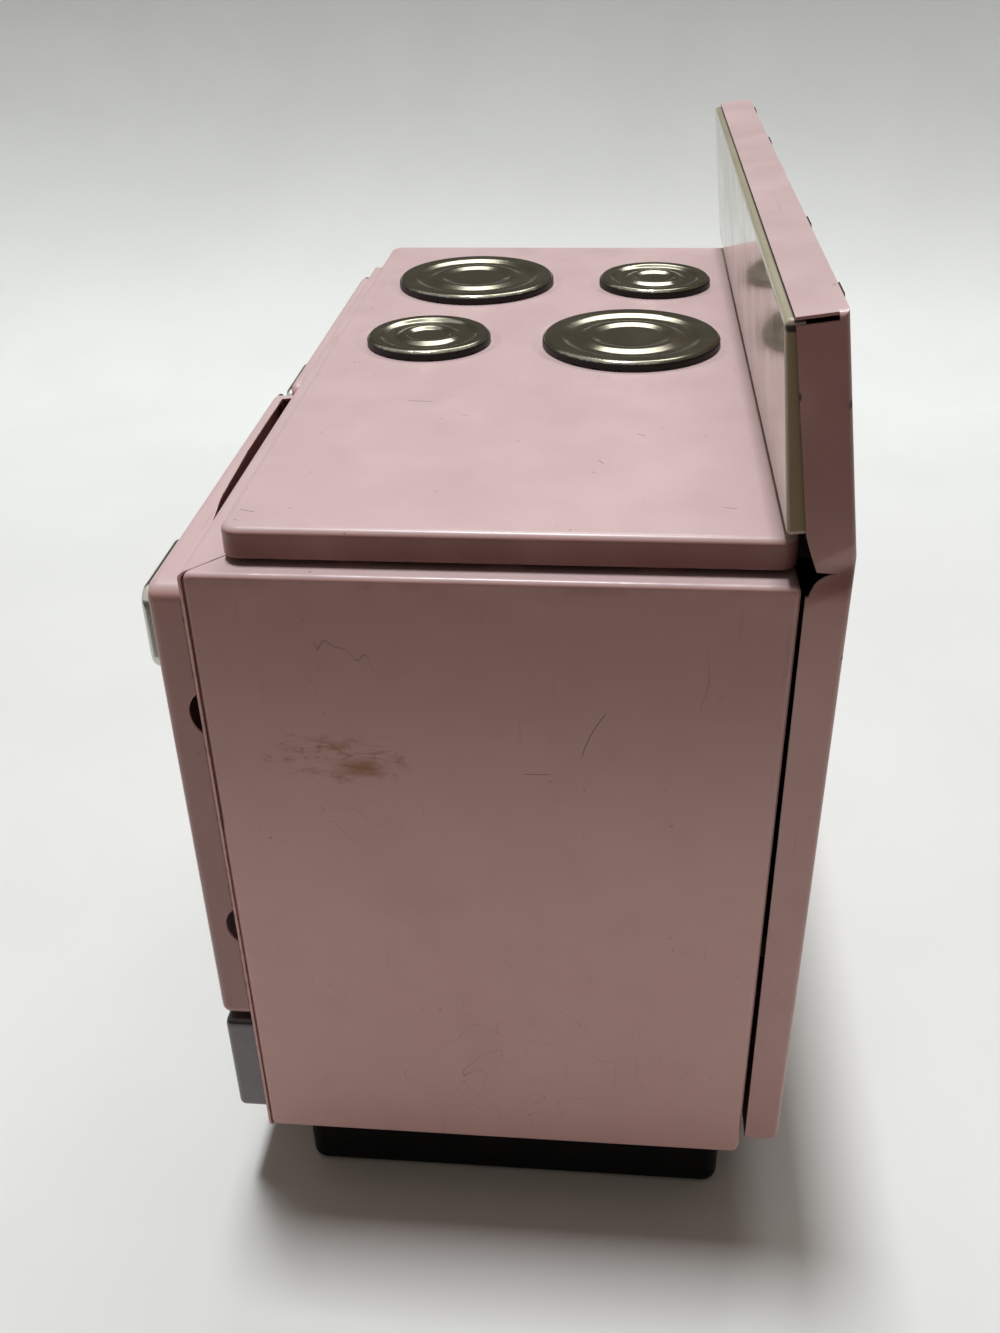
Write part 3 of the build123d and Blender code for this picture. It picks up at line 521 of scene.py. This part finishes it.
def card_material(name, fade_top, felt_glow):
    """A studio card that glows: its emission paints a reflection, nearly as pale as the floor at
    its foot and dim from `fade_top` up, over a dark felt colour.
    """
    s = Shader(name)
    nap = s.ramp(s.noise(300.0, 3.0), 0.3, 0.7)
    up = s.ramp(s.axis("Z"), 0.0, fade_top)
    s.set(Base_Color=s.mix(nap, FELT, FELT_WORN), Roughness=0.9, Specular_IOR_Level=0.0,
          Emission_Color=s.mix(up, shade(FLOOR, 0.75), felt_glow), Emission_Strength=1.0)
    s.relief((s.noise(600.0, 3.0), 0.0001))
    return s.material


MATERIALS = {
    "side": pink_enamel("pink_enamel_side", side_marks, side_shade_and_dirt, side_wrinkles),
    "cooktop": pink_enamel("pink_enamel_cooktop", cooktop_marks, cooktop_rim_shade),
    "splash": pink_enamel("pink_enamel_splash", splash_marks, splash_shade, splash_crease,
                          chipped=0.3),
    "door": pink_enamel("pink_enamel_door", shade_and_dirt=door_end_shade),
    "pink": pink_enamel("pink_enamel"),
    "cream": cream_enamel(),
    "grey": grey_enamel(),
    "black": black_enamel(),
    "burner": plate("burner_plate", BURNER_PLATE, BURNER_BROWN_BELOW),
    "handle": plate("handle_plate", HANDLE_PLATE),
    "wire": plate("hinge_wire", HINGE_WIRE),
    "tin": tinplate(),
}
FINISH = {
    "right_side_panel": "side", "cooktop": "cooktop", "back_panel": "splash",
    "right_door": "door", "left_door": "door", "control_face": "cream",
    "kick_panel": "grey", "plinth": "black",
    "floor_pan": "tin", "rear_rail": "tin", "partition": "tin", "oven_shelf": "tin",
}
FINISH_BY_ENDING = {"burner": "burner", "handle": "handle", "hinge_rod": "wire"}


def finish_of(node):
    for ending, finish in FINISH_BY_ENDING.items():
        if node.endswith(ending):
            return finish
    return FINISH.get(node, "pink")


for node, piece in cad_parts.items():
    piece.data.materials.clear()
    piece.data.materials.append(MATERIALS[finish_of(node)])


# ---------------------------------------------------------------- stage, light and camera
def sweep(width, front, back, bend, height):
    """A floor that curves up into a backdrop beyond the range's far side."""
    steps = 24
    profile = [(front, 0.0)]
    for index in range(steps + 1):
        turn = math.radians(90 * index / steps)
        profile.append((back - bend * math.sin(turn), bend * (1 - math.cos(turn))))
    profile.append((back - bend, height))
    points = [(x, side * width / 2, z) for x, z in profile for side in (-1, 1)]
    faces = [(2 * i, 2 * i + 2, 2 * i + 3, 2 * i + 1) for i in range(len(profile) - 1)]
    mesh = bpy.data.meshes.new("floor")
    mesh.from_pydata(points, [], faces)
    for face in mesh.polygons:
        face.use_smooth = True
    mesh.materials.append(floor_material())
    made = bpy.data.objects.new("floor", mesh)
    bpy.context.scene.collection.objects.link(made)


def card(name, x, low, high, reach, material):
    """An upright card across the range's length, out of the picture on purpose.

    Neither the camera nor the lamps meet it: only glossy surfaces mirror it.
    """
    mesh = bpy.data.meshes.new(name)
    corners = [(x, -reach, low), (x, reach, low), (x, reach, high), (x, -reach, high)]
    mesh.from_pydata(corners, [], [(0, 1, 2, 3)])
    mesh.materials.append(material)
    made = bpy.data.objects.new(name, mesh)
    bpy.context.scene.collection.objects.link(made)
    made.visible_camera = False
    made.visible_shadow = False
    made.visible_diffuse = False


def area_light(name, place, target, across, size, power, colour):
    """A rectangular lamp that faces `target`, with its first side along `across`."""
    lamp = bpy.data.lights.new(name, "AREA")
    lamp.shape = "RECTANGLE"
    lamp.size, lamp.size_y = size
    lamp.energy = power
    lamp.color = colour
    made = bpy.data.objects.new(name, lamp)
    bpy.context.scene.collection.objects.link(made)
    made.location = place
    back = (Vector(place) - Vector(target)).normalized()
    upright = back.cross(Vector(across)).normalized()
    made.rotation_euler = Matrix((upright.cross(back), upright, back)).transposed().to_euler()


def world_light(seen, light):
    """A pale surround for the camera and for mirrored views, and a dimmer, warmer light."""
    world = bpy.data.worlds.new("studio")
    bpy.context.scene.world = world
    world.use_nodes = True
    nodes, links = world.node_tree.nodes, world.node_tree.links
    path = nodes.new("ShaderNodeLightPath")
    share = path.outputs["Is Camera Ray"]
    for kind in ("Is Glossy Ray", "Is Transmission Ray"):
        either = nodes.new("ShaderNodeMath")
        either.operation = "MAXIMUM"
        links.new(share, either.inputs[0])
        links.new(path.outputs[kind], either.inputs[1])
        share = either.outputs[0]
    mix = nodes.new("ShaderNodeMix")
    mix.data_type = "RGBA"
    links.new(share, mix.inputs[MIX_SHARE])
    mix.inputs[MIX_FIRST].default_value = (*light, 1.0)
    mix.inputs[MIX_SECOND].default_value = (*seen, 1.0)
    links.new(mix.outputs[MIX_RESULT], nodes["Background"].inputs["Color"])


def camera():
    """The camera, aimed by its angles below the horizon, to the front and about its axis."""
    down, yaw, roll = (math.radians(a) for a in (CAMERA_DOWN, CAMERA_YAW, CAMERA_ROLL))
    ahead = Vector((-math.cos(down) * math.cos(yaw), -math.cos(down) * math.sin(yaw),
                    -math.sin(down)))
    level = Vector((-math.sin(yaw), math.cos(yaw), 0.0))
    upright = level.cross(ahead)
    across = math.cos(roll) * level + math.sin(roll) * upright
    up = -math.sin(roll) * level + math.cos(roll) * upright
    made = bpy.data.cameras.new("camera")
    made.lens = LENS
    made.sensor_width = SENSOR
    made.sensor_fit = "AUTO"
    made.clip_start = 0.01
    made.dof.use_dof = False
    holder = bpy.data.objects.new("camera", made)
    bpy.context.scene.collection.objects.link(holder)
    turn = Matrix((across, up, -ahead)).transposed().to_4x4()
    holder.matrix_world = Matrix.Translation(CAMERA_PLACE) @ turn
    bpy.context.scene.camera = holder


sweep(width=7.0, front=0.90, back=-0.60, bend=0.30, height=0.32)
world_light(seen=(0.78, 0.79, 0.77), light=(0.118, 0.098, 0.082))

# the near card darkens what the right side mirrors, and the far one what the burners do
card("near_card", x=0.38, low=0.0, high=0.30, reach=3.0,
     material=card_material("near_card", fade_top=0.085, felt_glow=(0.10, 0.085, 0.075)))
card("far_card", x=-1.80, low=0.25, high=2.50, reach=3.0,
     material=card_material("far_card", fade_top=0.10, felt_glow=(0.105, 0.095, 0.075)))

# a lamp overhead, and a window beyond the range's far side
area_light("key", place=(-0.40, -0.30, 4.0), target=(0.0, 0.0, 0.0), across=(1, 0, 0),
           size=(0.6, 0.5), power=120.0, colour=(0.97, 0.985, 1.0))
area_light("window", place=(-1.45, 0.20, 1.94), target=(-0.07, 0.0, 0.24), across=(0, 1, 0),
           size=(1.3, 0.7), power=14.0, colour=(1.0, 0.98, 0.95))
camera()
bpy.context.scene.view_settings.view_transform = "Standard"
